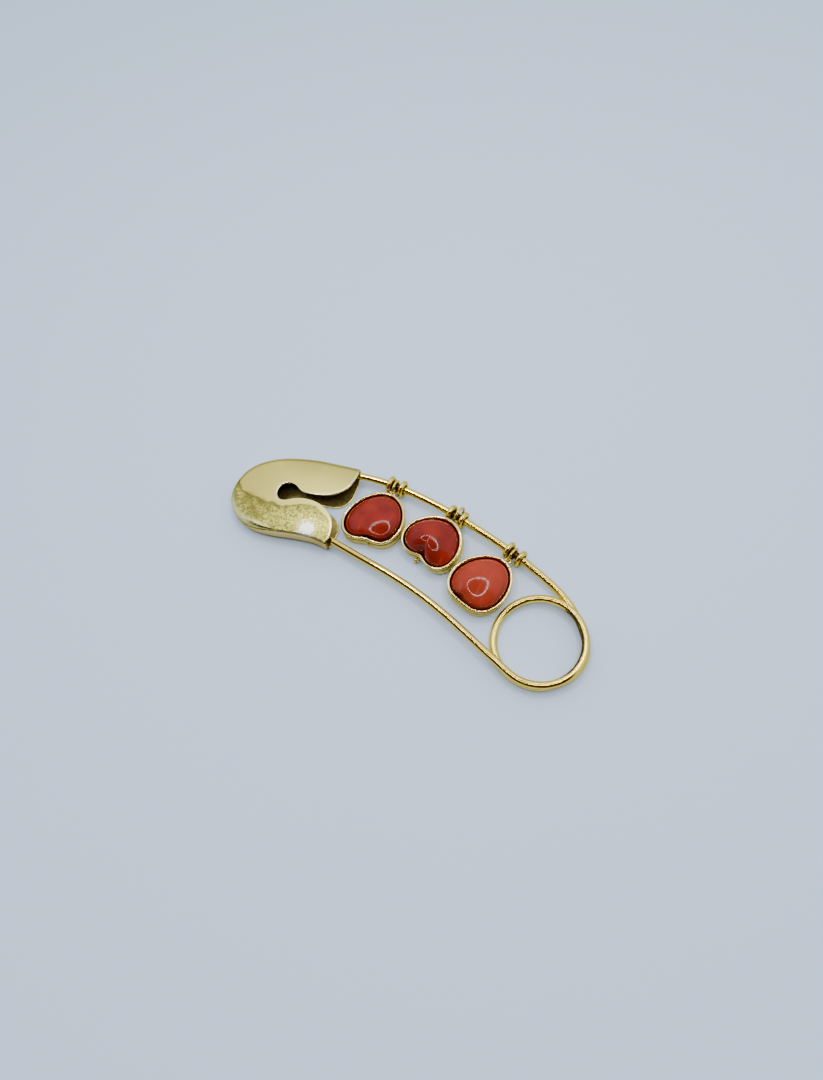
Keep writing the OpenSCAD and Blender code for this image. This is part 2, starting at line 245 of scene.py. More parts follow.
def wrap(a):
    """An angle in degrees, brought between -180 and 180."""
    return a - 360 * np.floor((a + 180) / 360)


def turns(count):
    """This many angles, evenly round a full turn."""
    return np.linspace(0, 2 * np.pi, count, endpoint=False)


def curve(points, steps, closed=False):
    """Smooth curve through the points: between two of them the cubic that has their places and slopes
    at its ends. A point's slope is the step between its neighbours over the length of the way past it.
    An open curve leaves out its last point."""
    n = len(points)
    i = np.arange(n)
    before = points[(i - 1) % n if closed else np.maximum(i - 1, 0)]
    after = points[(i + 1) % n if closed else np.minimum(i + 1, n - 1)]
    way = np.linalg.norm(after - points, axis=1) + np.linalg.norm(points - before, axis=1)
    slope = (after - before) / way[:, None]
    a = i if closed else i[:-1]
    b = (a + 1) % n
    length = np.linalg.norm(points[b] - points[a], axis=1)[:, None, None]
    t = (np.arange(steps) / steps)[None, :, None]
    out = ((2 * t**3 - 3 * t**2 + 1) * points[a][:, None]
           + (t**3 - 2 * t**2 + t) * slope[a][:, None] * length
           + (3 * t**2 - 2 * t**3) * points[b][:, None]
           + (t**3 - t**2) * slope[b][:, None] * length)
    return out.reshape(-1, points.shape[1])


def way_along(points):
    """Length of the way along a line from its first point to each point."""
    return np.concatenate([[0], np.cumsum(np.linalg.norm(np.diff(points, axis=0), axis=1))])


def look_up(at, known, values):
    """The rows of values that belong to the known numbers, read off at other numbers in between."""
    return np.stack([np.interp(at, known, column) for column in values.T], -1)


def tube_faces(rings, sides, closed=False):
    """Four-sided faces between neighbouring rings of points, each ring closed round."""
    i, k = np.mgrid[0:rings if closed else rings - 1, 0:sides]
    j, m = (i + 1) % rings, (k + 1) % sides
    return np.stack([i * sides + k, i * sides + m, j * sides + m, j * sides + k], -1).reshape(-1, 4)


def outward(points, faces):
    """The faces turned so that the closed shell they make holds a positive volume."""
    volume = 0.0
    for f in faces:
        for c in range(1, f.shape[1] - 1):
            a, b, d = points[f[:, 0]], points[f[:, c]], points[f[:, c + 1]]
            volume += np.einsum("ij,ij->", a, np.cross(b, d))
    return faces if volume > 0 else [f[:, ::-1] for f in faces]


def skin(rings):
    """Closed shell through a grid of rings: its two ends are closed by fans round their middles."""
    n, sides = rings.shape[:2]
    points = np.concatenate([rings.reshape(-1, 3), rings[[0, -1]].mean(axis=1)])
    k = np.arange(sides)
    m = (k + 1) % sides
    first = np.stack([m, k, np.full(sides, n * sides)], -1)
    last = np.stack([(n - 1) * sides + k, (n - 1) * sides + m, np.full(sides, n * sides + 1)], -1)
    return points, outward(points, [tube_faces(n, sides), first, last])


def torus(middle, flat, radius, thickness, round_sides=72, tube_sides=24):
    """Ring in the plane of the two directions in flat: a circle of the thickness carried round a
    circle of the radius."""
    a, b = turns(round_sides)[:, None, None], turns(tube_sides)[None, :, None]
    across, up = (np.asarray(d, float) for d in flat)
    out = np.cos(a) * across + np.sin(a) * up
    axis = np.cross(across, up)
    grid = middle + (radius + thickness / 2 * np.cos(b)) * out + thickness / 2 * np.sin(b) * axis
    points = grid.reshape(-1, 3)
    return points, outward(points, [tube_faces(round_sides, tube_sides, closed=True)])


def rod(start, end, diameter, sides):
    """Straight round rod from start to end."""
    way = unit(end - start)
    side = unit(np.cross(way, (0, 0, 1)))
    a = turns(sides)[:, None]
    circle = diameter / 2 * (np.cos(a) * side + np.sin(a) * np.cross(side, way))
    return skin(np.stack([start + circle, end + circle]))


def make_piece(name, shells, material, slot, stands_for, **marks):
    """Puts closed shells, given in millimetres, into one smooth mesh that rides on the frame. Each of
    the marks is a value for every point, which the material reads."""
    points, faces = [], []
    start = 0
    for shell_points, shell_faces in shells:
        points.append(shell_points)
        faces += [f for group in shell_faces for f in (group + start).tolist()]
        start += len(shell_points)
    mesh = bpy.data.meshes.new(name)
    mesh.from_pydata((np.concatenate(points) * MM).tolist(), [], faces)
    for mark, values in marks.items():
        data = mesh.attributes.new(mark, "FLOAT", "POINT").data
        data.foreach_set("value", np.asarray(values, np.float32).ravel())
    mesh.shade_smooth()
    mesh.materials.append(bpy.data.materials[material])
    piece = bpy.data.objects.new(name, mesh)
    bpy.context.scene.collection.objects.link(piece)
    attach(piece, BODY)
    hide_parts(stands_for)


# The wire


def wire_route(wire, steps):
    """Middle line of the wire: the pin leg, a coil whose radius and height follow a smooth step of
    the angle, and the fixed leg, joined in one smooth curve."""
    low = wire.diameter / MM / 2
    first, last, step = COIL_ANGLES
    a = np.arange(first, last + 1, step)
    drop = ramp(a, *COIL_DROP)
    r = wire.coil_radius / MM - COIL_TIGHTEN * drop
    z = mix(low + wire.turn_rise / MM, low, drop)
    turn = np.radians(a)
    coil = np.stack([COIL_MIDDLE[0] + r * np.cos(turn), COIL_MIDDLE[1] + r * np.sin(turn), z], -1)
    return curve(np.concatenate([PIN_LEG, coil, FIXED_LEG]), steps)


def leg_at(x):
    """The place on the fixed leg at a given x, and the level directions along and across it there."""
    route = wire_route(bpy.context.scene.brooch_wire, 2)
    leg = route[route[:, 1] > RING_SIDE][::-1]
    here, before, after = (look_up(at, leg[:, 0], leg) for at in (x, x - 0.5, x + 0.5))
    way = unit((after - before)[:2])
    return here, np.array([*way, 0]), np.array([*sideways(way), 0])


class BroochWire(bpy.types.PropertyGroup):
    """Sizes of the spring wire"""

    diameter: FloatProperty(
        name="Wire diameter", description="Thickness of the spring wire", default=0.0014, unit="LENGTH")
    coil_radius: FloatProperty(
        name="Coil radius", description="Radius of the coil to the middle of the wire",
        default=0.00805, unit="LENGTH")
    turn_rise: FloatProperty(
        name="Rise of a turn", description="Height between the two turns of the coil",
        default=0.0015, unit="LENGTH")
    point_length: FloatProperty(
        name="Point length", description="Length of the taper at the pin's hidden point",
        default=0.004, unit="LENGTH")


class BROOCH_OT_wire(bpy.types.Operator):
    """Build the spring wire: a round section carried along its middle line"""

    bl_idname = "brooch.wire"
    bl_label = "Spring wire"

    def execute(self, context):
        wire = context.scene.brooch_wire
        path = wire_route(wire, WIRE_STEPS)[:-HIDDEN_STEPS]
        way = unit(np.gradient(path, axis=0))
        side = unit(np.cross(way, (0, 0, 1)))
        up = np.cross(side, way)
        reach = np.linalg.norm(path - path[0], axis=1) * MM / wire.point_length
        r = wire.diameter / MM / 2 * np.minimum(1, mix(POINT_SHARE, 1, reach))
        a = turns(28)[None, :, None]
        rings = path[:, None] + r[:, None, None] * (np.cos(a) * side[:, None] + np.sin(a) * up[:, None])
        points, faces = skin(rings)
        # Painted shade on the coil's inner side and on the wire between each heart's stop rings
        spoke = points[:, :2] - COIL_MIDDLE
        gap = wire.coil_radius / MM - np.linalg.norm(spoke, axis=1)
        middle, begin, full = COIL_DARK
        turn = np.abs(np.degrees(np.arctan2(spoke[:, 1], spoke[:, 0])) - middle)
        tarnish = 0.8 * ramp(gap, 0.15, 0.45) * ramp(turn, begin, full)
        for heart in HEARTS:
            half = (heart[STOP_B] - heart[STOP_A]) / 2
            near = np.abs(points[:, 0] - (heart[STOP_A] + heart[STOP_B]) / 2)
            between = ramp(near, half + 0.3, half - 0.2) * (points[:, 1] > RING_SIDE)
            tarnish = np.maximum(tarnish, between)
        make_piece("wire", [(points, faces)], "Polished gold", "gold", "spring_wire", tarnish=tarnish)
        return {"FINISHED"}


# The clasp cap


class BroochCap(bpy.types.PropertyGroup):
    """Sizes of the clasp cap"""

    height: FloatProperty(
        name="Height", description="Height of the cap at its edge", default=0.004, unit="LENGTH")
    dome: FloatProperty(
        name="Dome", description="Rise of the front leaf above its edge", default=0.0003, unit="LENGTH")
    sheet: FloatProperty(
        name="Sheet", description="Thickness of the sheet gold", default=0.0004, unit="LENGTH")
    fold_radius: FloatProperty(
        name="Fold radius", description="Radius of the folded edge", default=0.0019, unit="LENGTH")
    crisp_radius: FloatProperty(
        name="Crisp radius", description="Radius of the upper edge along the side strip",
        default=0.0003, unit="LENGTH")
    lower_radius: FloatProperty(
        name="Lower radius", description="Radius of the lower edge along the side strip",
        default=0.0012, unit="LENGTH")
    seam_depth: FloatProperty(
        name="Seam depth", description="Depth of the seam between the front leaf and the side strip",
        default=0.0002, unit="LENGTH")


class CapForm:
    """The cap's outer or inner surface as heights over its plan. At a distance d inside the wall the
    front stands at top - r + sqrt(r^2 - (r - d)^2) until d reaches the edge's radius r, and from
    there level, with a dome and a slight bulge of the lower lobe added. The back is the same turned
    over, without the dome."""

    def __init__(self, cap, wall):
        self.wall = wall
        self.top = cap.height / MM - wall
        self.dome = cap.dome / MM
        self.line = curve(CAP_EDGE, 24, closed=True)
        self.out = sideways(unit(np.roll(self.line, -1, 0) - np.roll(self.line, 1, 0)))
        self.folded = self.out[:, 1] > 0
        self.strip = np.where(self.folded, 0, ramp(self.line[:, 0], *SEAM_FADE))
        self.top_r = self.edge_radius(cap.fold_radius, cap.crisp_radius, CRISP_FADE)
        self.low_r = self.edge_radius(cap.fold_radius, cap.lower_radius, LOWER_FADE)

    def edge_radius(self, fold, strip, fade):
        """Radius of an edge at each point of the outline: that of the fold on the upper side, going
        over to that of the side strip on the lower side."""
        radius = np.where(self.folded, fold, mix(fold, strip, ramp(self.line[:, 0], *fade)))
        return np.maximum(LEAST_RADIUS, radius / MM - self.wall)

    def inset(self, plan):
        """Distance of each place from the wall, and the edge radii at the wall's nearest place."""
        start = self.line
        step = np.roll(start, -1, 0) - start
        gap = plan.reshape(-1, 1, 2) - start
        t = np.clip(np.einsum("pnk,nk->pn", gap, step) / np.einsum("nk,nk->n", step, step), 0, 1)
        far = np.linalg.norm(gap - t[..., None] * step, axis=-1)
        near = far.argmin(axis=1)
        rows = np.arange(len(near))
        share, after = t[rows, near], (near + 1) % len(start)
        radii = [mix(r[near], r[after], share).reshape(plan.shape[:-1]) for r in (self.top_r, self.low_r)]
        distance = far[rows, near].reshape(plan.shape[:-1]) - self.wall
        return np.maximum(distance, 0), radii[0], radii[1]

    def front(self, plan):
        """Height of the front leaf over each place of the plan."""
        d, r, _ = self.inset(plan)
        edge = self.top - r + np.sqrt(np.maximum(0, r**2 - np.maximum(0, r - d) ** 2))
        dome = self.dome * np.maximum(0, 1 - (((plan - DOME_MIDDLE) / DOME_SPAN) ** 2).sum(-1))
        bulge = LOBE_BULGE * spot(plan, LOBE_MIDDLE, LOBE_SPAN)
        return edge + (dome + bulge) * ramp(d + self.wall, 0, DOME_FOOT)

    def back(self, plan):
        """Height of the back leaf over each place of the plan."""
        d, _, r = self.inset(plan)
        return self.wall + r - np.sqrt(np.maximum(0, r**2 - np.maximum(0, r - d) ** 2))


class BROOCH_OT_cap(bpy.types.Operator):
    """Build the clasp cap: one folded sheet between the edges of its front and back openings"""

    bl_idname = "brooch.cap"
    bl_label = "Clasp cap"

    def execute(self, context):
        points, faces, marks = cap_shell(context.scene.brooch_cap)
        make_piece("cap", [(points, faces)], "Worn gold", "gold", "clasp_cap", **marks)
        return {"FINISHED"}


def cap_shell(cap, across=320, leaf=56, wall=34, lip=8):
    """The sheet as a grid. One way it runs along the openings' edges and the outline from the mouth's
    upper corner to its lower corner. The other way it runs round the section: front leaf, wall and
    back leaf outside, a round lip, the same inside, and a round lip again. A leaf's points lie closer
    together towards the outline, and the wall's towards the front leaf."""
    sheet = cap.sheet / MM
    outer, inner = CapForm(cap, 0), CapForm(cap, sheet)
    reach, outline, normal, strip = outline_between(outer)
    shares = np.linspace(0, 1, across)
    front, front_in, front_at = opening(FRONT_EDGE, FRONT_LINES, shares, outer, sheet)
    back, back_in, back_at = opening(BACK_EDGE, BACK_LINES, shares, outer, sheet)
    t = (np.linspace(1, 0, leaf) ** 2)[None, :, None]
    s = (np.linspace(0, 1, wall + 2)[None, 1:-1, None]) ** 1.8
    surfaces = []
    for form in (outer, inner):
        leaves = []
        for edge, at, height in ((front, front_at, form.front), (back, back_at, form.back)):
            foot = look_up(at, reach, outline) - form.wall * unit(look_up(at, reach, normal))
            plan = foot[:, None] + (edge - foot)[:, None] * t
            leaves.append(np.concatenate([plan, height(plan)[..., None]], -1))
        top, low = (points[:, -1:] for points in leaves)
        side = mix(top, low, s)
        if form is outer:
            depth = np.interp(front_at, reach, strip) * cap.seam_depth / MM
            groove = hump(top[..., 2] - side[..., 2], SEAM_FALL, GROOVE_WIDTH) * depth[:, None]
            side[..., :2] -= groove[..., None] * unit(look_up(front_at, reach, normal))[:, None]
        surfaces.append(np.concatenate([leaves[0], side, leaves[1][:, ::-1]], axis=1))
    grid, faces = close_sheet(surfaces[0], surfaces[1], front_in, back_in, sheet / 2, lip)
    return grid.reshape(-1, 3), faces, cap_marks(grid, outer, leaf, wall, lip)


def cap_marks(grid, form, leaf, wall, lip):
    """Values for the cap's material. worn: how far a place lies below the wear line, in millimetres,
    which places both the wear and the painted reflection along the line. rim: closeness to an opening's
    edge, for a painted highlight. rubbed: closeness to the painted highlight spot. stain: dull spots.
    fold: closeness to the painted highlight band along the lower left. strip: 1 on the wall. seam:
    closeness to the seam, for painted shade. inside: 1 on the inner surface, which gets painted shade."""
    x, y = grid[..., 0], grid[..., 1]
    rim, highlight_spot, stain, fold, strip, inside = (np.zeros(x.shape) for _ in range(6))
    columns = np.arange(grid.shape[1])
    outer = 2 * leaf + wall
    inside[:, (columns >= outer + lip) & (columns < 2 * outer + lip)] = 1
    strip[:, leaf:leaf + wall] = 1
    steps = np.linalg.norm(np.diff(grid[:, :leaf], axis=1), axis=-1)
    reach = np.concatenate([np.zeros((len(grid), 1)), np.cumsum(steps, axis=1)], axis=1)
    rim[:, :leaf] = hump(reach, 0, LIP_HIGHLIGHT_SPAN)
    rim[:, (columns >= 2 * outer + lip) | ((columns >= outer) & (columns < outer + lip))] = 1
    fall = np.linalg.norm(grid - grid[:, leaf - 1:leaf], axis=-1)
    seam = strip * (y < 0) * hump(fall, SEAM_FALL, SEAM_WIDTH) * ramp(x, *SEAM_FADE)
    front = grid[:, :leaf, :2]
    highlight_spot[:, :leaf] = spot(front, HIGHLIGHT_SPOT_PLACE, HIGHLIGHT_SPOT_SPAN)
    for stain_x, stain_y, span in STAINS:
        stain[:, :leaf] += spot(front, (stain_x, stain_y), span)
    fold[:, :leaf] = (
        hump(form.inset(front)[0], *FOLD_HIGHLIGHT) * ramp(front[..., 0], *FOLD_HIGHLIGHT_LEFT)
        * ramp(front[..., 0], *FOLD_HIGHLIGHT_RIGHT) * ramp(front[..., 1], *FOLD_HIGHLIGHT_TOP))
    return {"wear_and_reflection": np.interp(x, *WEAR_AND_REFLECTION_LINE.T) - y, "rim": rim, "highlight_spot": highlight_spot, "stain": stain,
            "fold": fold, "strip": strip, "seam": seam, "inside": inside}


def outline_between(form):
    """The stretch of the outline between the mouth's corners: share of its length from the upper
    corner, places, outward directions, and how far each place belongs to the side strip."""
    upper, lower = (
        np.linalg.norm(form.line - corner, axis=1).argmin() for corner in (MOUTH_UPPER, MOUTH_LOWER))
    index = np.arange(upper, lower - 1, -1)
    reach = way_along(form.line[index])
    return reach / reach[-1], form.line[index], form.out[index], form.strip[index]


def opening(edge, lines, shares, form, sheet):
    """Places along an opening's edge, drawn back by half the sheet so that its round lip ends on the
    edge, the directions into the opening, and the shares of the outline they are joined to."""
    fine = curve(edge, 16)
    keep = np.flatnonzero((form.inset(fine)[0] > 1.5 * sheet) & point_inside(fine, form.line))
    fine = fine[keep[0]:keep[-1] + 1]
    reach = way_along(fine)
    places = look_up(shares * reach[-1], reach, fine)
    into = sideways(unit(np.gradient(places, axis=0)))
    return places - sheet / 2 * into, into, np.interp(shares, *lines.T)


def point_inside(points, line):
    """Whether each place lies inside a closed line: the turns of the line seen from it add up."""
    seen = line[None] - points[:, None]
    angle = np.arctan2(seen[..., 1], seen[..., 0])
    step = np.diff(np.concatenate([angle, angle[:, :1]], axis=1), axis=1)
    step = (step + np.pi) % (2 * np.pi) - np.pi
    return np.abs(step.sum(axis=1)) > np.pi


def close_sheet(outer, inner, front_in, back_in, r, lip):
    """Joins an outer and an inner surface by round lips along the two openings, and closes the two
    ends of the grid."""
    a = np.linspace(0, np.pi, lip + 2)[None, 1:-1, None]
    lips = []
    for column, into in ((-1, back_in), (0, front_in)):
        out, back = outer[:, column], inner[:, column]
        bulge = np.concatenate([into, np.zeros((len(into), 1))], -1)[:, None] * r
        mid, half = (out + back)[:, None] / 2, (out - back)[:, None] / 2
        lips.append(mid + np.cos(a) * half + np.sin(a) * bulge)
    grid = np.concatenate([outer, lips[0], inner[:, ::-1], lips[1][:, ::-1]], axis=1)
    n, sides = grid.shape[:2]
    m = outer.shape[1]
    k = np.arange(m - 1)
    mate = 2 * m + lip - 1 - k
    faces = [tube_faces(n, sides)]
    for row in (0, n - 1):
        ends = [np.stack([mate, mate - 1, k + 1, k], -1)]
        for first, last in ((m - 1, m + lip), (2 * m + lip - 1, 2 * m + 2 * lip)):
            run = np.arange(first, last + 1) % sides
            ends.append(np.stack([np.full(lip, run[0]), run[1:-1], run[2:]], -1))
        faces += [(end if row else end[:, ::-1]) + row * sides for end in ends]
    return grid, outward(grid.reshape(-1, 3), faces)


# Hearts


class BroochHearts(bpy.types.PropertyGroup):
    """Sizes of the settings and the stones"""

    bezel_height: FloatProperty(
        name="Bezel height", description="Height of a bezel", default=0.0028, unit="LENGTH")
    rim_width: FloatProperty(
        name="Rim width", description="Thickness of a bezel's rim", default=0.00067, unit="LENGTH")
    stone_gap: FloatProperty(
        name="Stone gap", description="Gap between a stone and its bezel", default=0.00015,
        unit="LENGTH")
    stone_dome: FloatProperty(
        name="Stone dome", description="Height of a stone's dome above its girdle", default=0.003,
        unit="LENGTH")
    valley: FloatProperty(
        name="Valley", description="Depth of the valley that runs in from a heart's cleft, as a share "
        "of the dome", default=0.45, subtype="FACTOR", min=0, max=1)
    cleft: FloatProperty(
        name="Cleft", description="Depth of the cleft in a stone's edge, as a share of its radius",
        default=0.06, subtype="FACTOR", min=0, max=1)


def heart_ring(heart, inset, z, share=1.0, ease=1.0):
    """A heart's outline, drawn in by inset and scaled by share: an oval whose radius is multiplied by
    1 + t cos 3(a - 90) - ease notch exp(-((a - 270 - notch turn) / width)^2)."""
    a = np.radians(HEART_ANGLES)
    notch = hump(wrap(HEART_ANGLES - 270 - heart[NOTCH_TURN]), 0, NOTCH_WIDTH)
    factor = (1 + TRIANGLE_SHARE * np.cos(np.radians(3 * (HEART_ANGLES - 90)))
              - ease * heart[NOTCH] * notch)
    plan = factor[:, None] * np.stack([heart[HALF_W] * np.cos(a), heart[HALF_H] * np.sin(a)], -1)
    plan = plan * (1 - inset / np.linalg.norm(plan, axis=1, keepdims=True))
    plan = plan * np.broadcast_to(share, a.shape)[:, None]
    return np.concatenate([plan, np.full((len(a), 1), z)], -1)


def place_heart(heart, points):
    """Tilts and rolls a heart about its lines, turns it and moves it to its place."""
    u, v, w = points[..., 0] - heart[ROLL_X], points[..., 1] - heart[TILT_Y], points[..., 2]
    v, w = spin(v, w, heart[TILT])
    w, u = spin(w, u, heart[ROLL])
    x, y = spin(u + heart[ROLL_X], v + heart[TILT_Y], heart[TURN])
    return np.stack([heart[X] + x, heart[Y] + y, w], -1)


def bead(inset, z, r, start, end, count):
    """Points of a round bead in a bezel's section, as inset and height: angles run from the outside
    over the top."""
    a = np.radians(np.linspace(start, end, count))
    return np.stack([inset - r * np.cos(a), z + r * np.sin(a)], -1)


def bezel_section(top, rim, floor):
    """A bezel's section as insets and heights: foot bead, wall, a step under the rim, the rim's bead,
    and the inner side down to the floor."""
    r = (rim - 0.03) / 2
    return np.concatenate([
        bead(*FOOT_BEAD, -90, 60, 12), BEZEL_WALL, [(BEZEL_WALL[-1][0], top - 0.86)],
        bead(0.03 + r, top - r - 0.14, r, -50, 0, 5), bead(0.03 + r, top - r, r, 0, 180, 21),
        [(rim, top - 0.6), (rim, 1.4), (rim, floor)]])


class BROOCH_OT_settings(bpy.types.Operator):
    """Build the settings: a bezel section carried round each heart, with its loops soldered on"""

    bl_idname = "brooch.settings"
    bl_label = "Settings"

    def execute(self, context):
        sizes, rings = context.scene.brooch_hearts, context.scene.brooch_rings
        section = bezel_section(
            sizes.bezel_height / MM, sizes.rim_width / MM, SEAT_Z - sizes.stone_gap / MM)
        hollow = np.interp(np.arange(len(section)), *BEZEL_HOLLOWS.T)
        for i, heart in enumerate(HEARTS):
            bezel = place_heart(heart, np.stack([heart_ring(heart, d, z) for d, z in section]))
            shells = [skin(bezel)] + heart_loop(heart, rings)
            if i < len(TAILS):
                shells.append(tail_loop(*TAILS[i]))
            # Painted shade in the bezel's hollows, and full at the middles of its two ends
            dark = np.concatenate([np.repeat(hollow, bezel.shape[1]), [1, 1]])
            tarnish = np.zeros(sum(len(points) for points, _ in shells))
            tarnish[:len(dark)] = dark
            make_piece(f"bezel_{i + 1}", shells, "Bezel gold", "gold", f"setting_{i + 1}",
                       tarnish=tarnish)
        return {"FINISHED"}


def heart_loop(heart, rings):
    """The loop that lies level at the heart's point, and its foot in the bezel's wall."""
    thick = rings.loop_thickness / MM
    r = rings.jump_thickness / MM / 2 + rings.play / MM + thick / 2
    here, way, across = leg_at(heart[JUMP])
    middle = here - across * (heart[JUMP_R] + heart[HANG])
    foot = middle - across * r
    return [torus(middle, (way, across), r, thick, round_sides=48, tube_sides=20),
            rod(foot, foot - across * FOOT_LENGTH, thick, sides=20)]


def tail_loop(x, y, r, turn):
    """The small loop that stands under a heart's cleft."""
    middle = np.array([x, y, r + TAIL_THICKNESS / 2])
    across = (*spin(0, 1, turn), 0)
    return torus(middle, ((0, 0, 1), across), r, TAIL_THICKNESS, round_sides=40, tube_sides=16)


class BROOCH_OT_stones(bpy.types.Operator):
    """Build the coral hearts: a dome z = h sqrt(1 - s^2) with a valley that runs in from the cleft"""

    bl_idname = "brooch.stones"
    bl_label = "Coral hearts"

    def execute(self, context):
        sizes = context.scene.brooch_hearts
        inset = (sizes.rim_width + sizes.stone_gap) / MM
        rise = np.radians(np.linspace(0, 88, 48))
        for i, heart in enumerate(HEARTS):
            turn = wrap(HEART_ANGLES - 270 - heart[CLEFT_TURN])
            near = hump(turn, 0, VALLEY_WIDTH)
            cleft = sizes.cleft * hump(turn, 0, CLEFT_WIDTH)
            crest, lean = np.array(heart[CREST_X:VALLEY_POWER]).reshape(2, 2)
            power = heart[VALLEY_POWER]
            rings = [heart_ring(heart, inset + d, SEAT_Z + up, 1 - cleft) for d, up in STONE_FOOT]
            for v in rise:
                s = np.cos(v)
                ring = heart_ring(heart, inset, 0, s * (1 - cleft * s**4), smooth(s) ** (power / 2))
                ring[:, :2] += (1 - s**2) * crest
                dome = sizes.stone_dome / MM * np.sin(v) * (1 + ring[:, :2] @ lean)
                ring[:, 2] = GIRDLE_Z + dome * (1 - sizes.valley * s**power * near)
                rings.append(ring)
            # Marks for painted shade: full on the stone's foot and along the dome's edge, and in the
            # valley under the cleft, strongest towards the edge
            foot = np.ones(len(STONE_FOOT))
            edge = np.concatenate([foot, ramp(np.cos(rise), EDGE_SHADE, 1)])
            deep = np.concatenate([0 * foot, np.cos(rise) ** power])
            marks = {"edge": np.repeat(edge, len(near)), "valley": np.outer(deep, near).ravel()}
            marks = {key: np.concatenate([value, value[[0, -1]]]) for key, value in marks.items()}
            make_piece(f"coral_{i + 1}", [skin(place_heart(heart, np.stack(rings)))],
                       STONE_MATERIALS[i], STONE_SLOTS[i], f"coral_heart_{i + 1}", **marks)
        return {"FINISHED"}


# Rings


class BroochRings(bpy.types.PropertyGroup):
    """Sizes of the small rings"""

    stop_diameter: FloatProperty(
        name="Stop ring diameter", description="Outside diameter of a stop ring", default=0.0035,
        unit="LENGTH")
    stop_thickness: FloatProperty(
        name="Stop ring thickness", description="Thickness of a stop ring", default=0.00095,
        unit="LENGTH")
    jump_thickness: FloatProperty(
        name="Jump ring thickness", description="Thickness of a jump ring", default=0.0005,
        unit="LENGTH")
    loop_thickness: FloatProperty(
        name="Loop thickness", description="Thickness of a heart's loop", default=0.0003,
        unit="LENGTH")
    play: FloatProperty(
        name="Play", description="Gap between pieces that are threaded on each other",
        default=0.0001, unit="LENGTH")


class BROOCH_OT_rings(bpy.types.Operator):
    """Build the jump rings and the stop rings, square to the fixed leg"""

    bl_idname = "brooch.rings"
    bl_label = "Rings on the fixed leg"

    def execute(self, context):
        rings = context.scene.brooch_rings
        stop_d = rings.stop_thickness / MM
        stop_r = rings.stop_diameter / MM / 2 - stop_d / 2
        for i, heart in enumerate(HEARTS):
            here, _, across = leg_at(heart[JUMP])
            jump = torus(here - across * heart[HANG], (across, (0, 0, 1)), heart[JUMP_R],
                         rings.jump_thickness / MM, tube_sides=20)
            # The jump ring is darkened all over by painted shade
            make_piece(f"ring_{i + 1}", [jump], "Polished gold", "gold", f"jump_ring_{i + 1}",
                       tarnish=np.full(len(jump[0]), JUMP_SHADE))
            for mark, x, facing in (("a", heart[STOP_A], 1), ("b", heart[STOP_B], -1)):
                here, way, across = leg_at(x)
                stop = torus(here, (across, (0, 0, 1)), stop_r, stop_d)
                # Painted shade on the stop ring's inside, round the wire, and on its face towards the
                # jump ring
                out = np.linalg.norm(np.cross(stop[0] - here, way), axis=1)
                inward = (stop[0] - here) @ way * facing
                tarnish = np.maximum(ramp(out, stop_r, stop_r - 0.4), 0.7 * ramp(inward, 0.25, 0.55))
                make_piece(f"stop_{i + 1}{mark}", [stop], "Polished gold", "gold",
                           f"stop_ring_{i + 1}{mark}", tarnish=tarnish)
        return {"FINISHED"}


# Materials

# Colours of the painted highlight along the cap's lower left, of its side strip, of the painted
# highlights on its openings' lips and of the painted highlight spot
FOLD_HIGHLIGHT_COLOUR = (1.0, 0.95, 0.42)
STRIP_COLOUR = (0.86, 0.64, 0.28)
LIP_HIGHLIGHT_COLOUR = (1.0, 0.9, 0.5)
HIGHLIGHT_SPOT_COLOUR = (1.0, 1.0, 0.95)


class BroochFinish(bpy.types.PropertyGroup):
    """Colours and finishes"""

    edge_gold: FloatVectorProperty(
        name="Gold at its edges", description="Colour of gold that is seen edge on",
        default=(0.82, 0.66, 0.32), subtype="COLOR", size=3, min=0, max=1)
    gold: FloatVectorProperty(
        name="Gold", description="Colour of the polished gold", default=(0.87, 0.67, 0.13),
        subtype="COLOR", size=3, min=0, max=1)
    bezel_gold: FloatVectorProperty(
        name="Bezel gold", description="Colour of the settings' gold", default=(0.9, 0.76, 0.28),
        subtype="COLOR", size=3, min=0, max=1)
    leaf: FloatVectorProperty(
        name="Cap gold", description="Colour of the cap's gold", default=(0.78, 0.65, 0.16),
        subtype="COLOR", size=3, min=0, max=1)
    # The colour of the painted shade in the gold's hollows
    tarnish: FloatVectorProperty(
        name="Painted shade", description="Colour of the gold in its hollows", default=(0.06, 0.03, 0.01),
        subtype="COLOR", size=3, min=0, max=1)
    coral: FloatVectorProperty(
        name="Coral", description="Colour of the first two stones", default=(0.3, 0.017, 0.008),
        subtype="COLOR", size=3, min=0, max=1)
    coral_orange: FloatVectorProperty(
        name="Orange coral", description="Colour of the third stone", default=(0.385, 0.038, 0.016),
        subtype="COLOR", size=3, min=0, max=1)


def tint(colour, red, green=None, blue=None):
    """A colour times a factor for each channel, or times the first alone, held at 1 or below."""
    factors = (red, red if green is None else green, red if blue is None else blue)
    return tuple(min(1, c * k) for c, k in zip(colour, factors))


def feed(tree, socket, value):
    """Links a socket to another one, or gives it a constant."""
    if isinstance(value, bpy.types.NodeSocket):
        tree.links.new(value, socket)
    else:
        socket.default_value = value


def add(tree, kind, inputs=None, **settings):
    """Adds a shader node. Inputs are sockets to link from, or constants."""
    item = tree.nodes.new("ShaderNode" + kind)
    for key, value in settings.items():
        setattr(item, key, value)
    for key, value in (inputs or {}).items():
        feed(tree, item.inputs[key], value)
    return item


def new_material(name, kind="BsdfPrincipled", inputs=None):
    """An empty material with this shader on its output. Returns its tree and the shader."""
    material = bpy.data.materials.new(name)
    material.use_nodes = True
    tree = material.node_tree
    tree.nodes.clear()
    shader = add(tree, kind, inputs)
    add(tree, "OutputMaterial", {"Surface": shader.outputs[0]})
    return tree, shader


